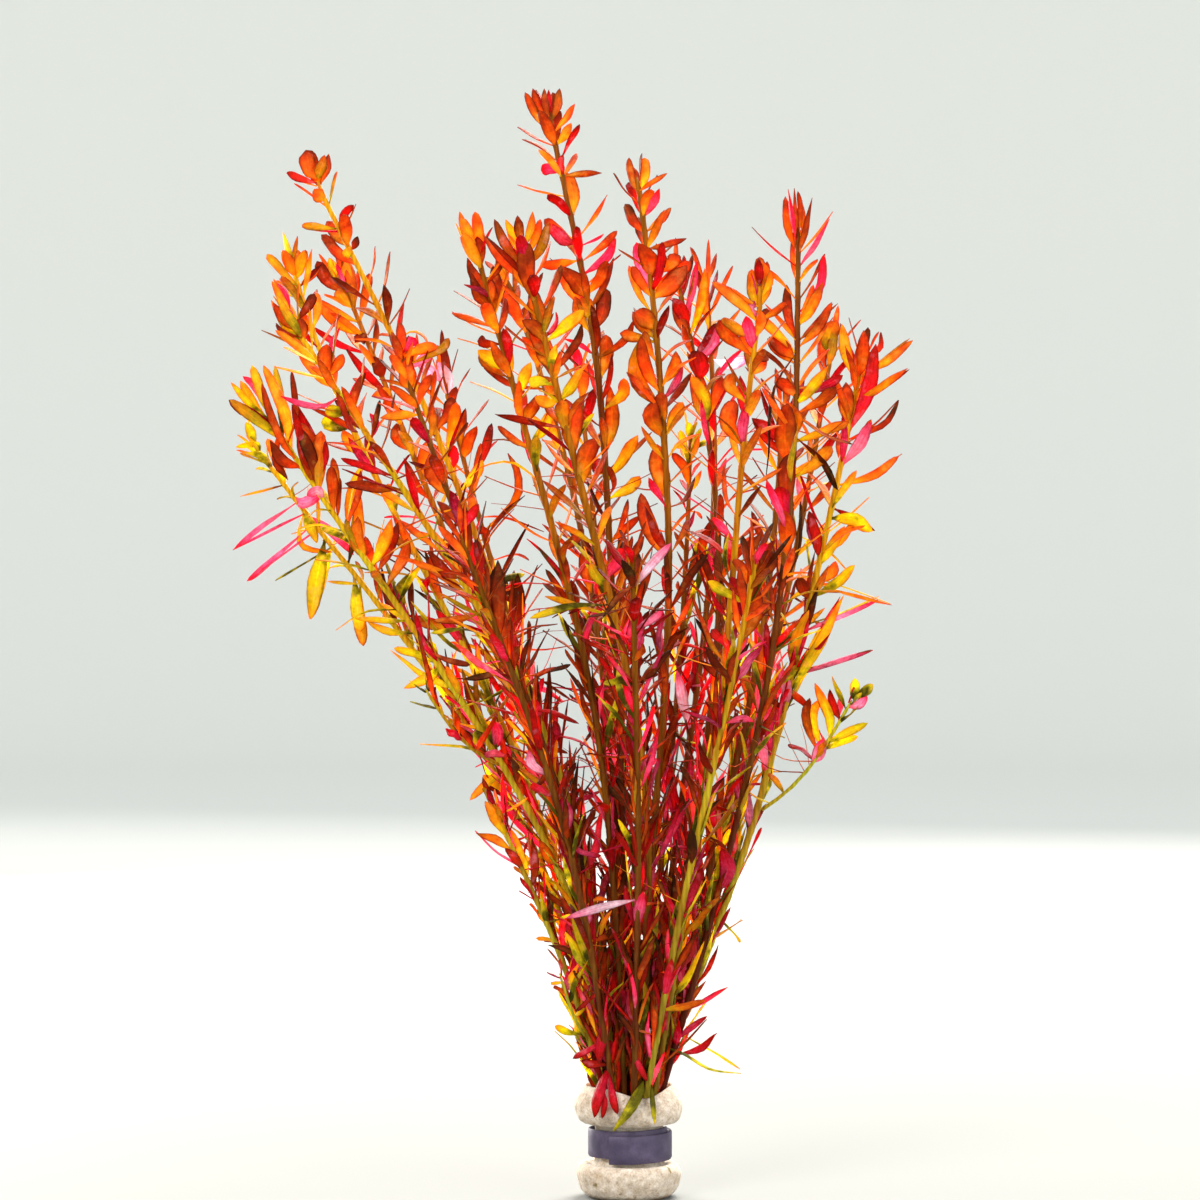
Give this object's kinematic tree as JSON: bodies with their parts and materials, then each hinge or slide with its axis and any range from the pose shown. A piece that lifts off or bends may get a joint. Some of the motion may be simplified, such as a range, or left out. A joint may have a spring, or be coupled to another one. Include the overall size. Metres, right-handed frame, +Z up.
{
  "type": "bunch of aquarium stem plants",
  "caption": "Upright fanned bunch of cut rotala stems with narrow orange and red leaves, held in a waisted foam sleeve by a wound lead strip.",
  "frame": {"origin": "on the axis of the foam sleeve, level with its flat foot and with the cut ends of the stems", "axes": "+Z up along the bunch, +X to the right as seen from the front, +Y away from the viewer"},
  "size_m": [0.1785, 0.1281, 0.289],
  "materials": {
    "cream_foam": "open-celled soft foam, matt",
    "dark_lead": "dull oxidised lead, slate purple",
    "leaf_gold": "soft satin leaf",
    "leaf_orange": "soft satin leaf",
    "leaf_red": "soft satin leaf",
    "leaf_crimson": "soft satin leaf",
    "leaf_green": "soft satin leaf"
  },
  "bodies": {
    "root": {"foam_wrap": "cream_foam", "lead_strip": "dark_lead", "stem_01": "leaf_orange", "stem_02": "leaf_orange", "stem_03": "leaf_gold", "stem_04": "leaf_orange", "stem_05": "leaf_gold", "stem_06": "leaf_gold", "stem_07": "leaf_gold", "stem_08": "leaf_orange", "stem_09": "leaf_orange", "stem_10": "leaf_orange", "stem_11": "leaf_crimson", "stem_12": "leaf_gold", "stem_13": "leaf_red", "stem_14": "leaf_orange", "stem_15": "leaf_green", "stem_16": "leaf_red", "stem_17": "leaf_crimson", "stem_18": "leaf_red", "stem_19": "leaf_orange", "stem_20": "leaf_orange", "stem_21": "leaf_orange", "stem_22": "leaf_red", "stem_23": "leaf_red", "stem_24": "leaf_crimson", "stem_25": "leaf_red", "stem_26": "leaf_gold", "side_shoot_01": "leaf_green", "side_shoot_02": "leaf_gold", "side_shoot_03": "leaf_green"}
  },
  "joints": []
}
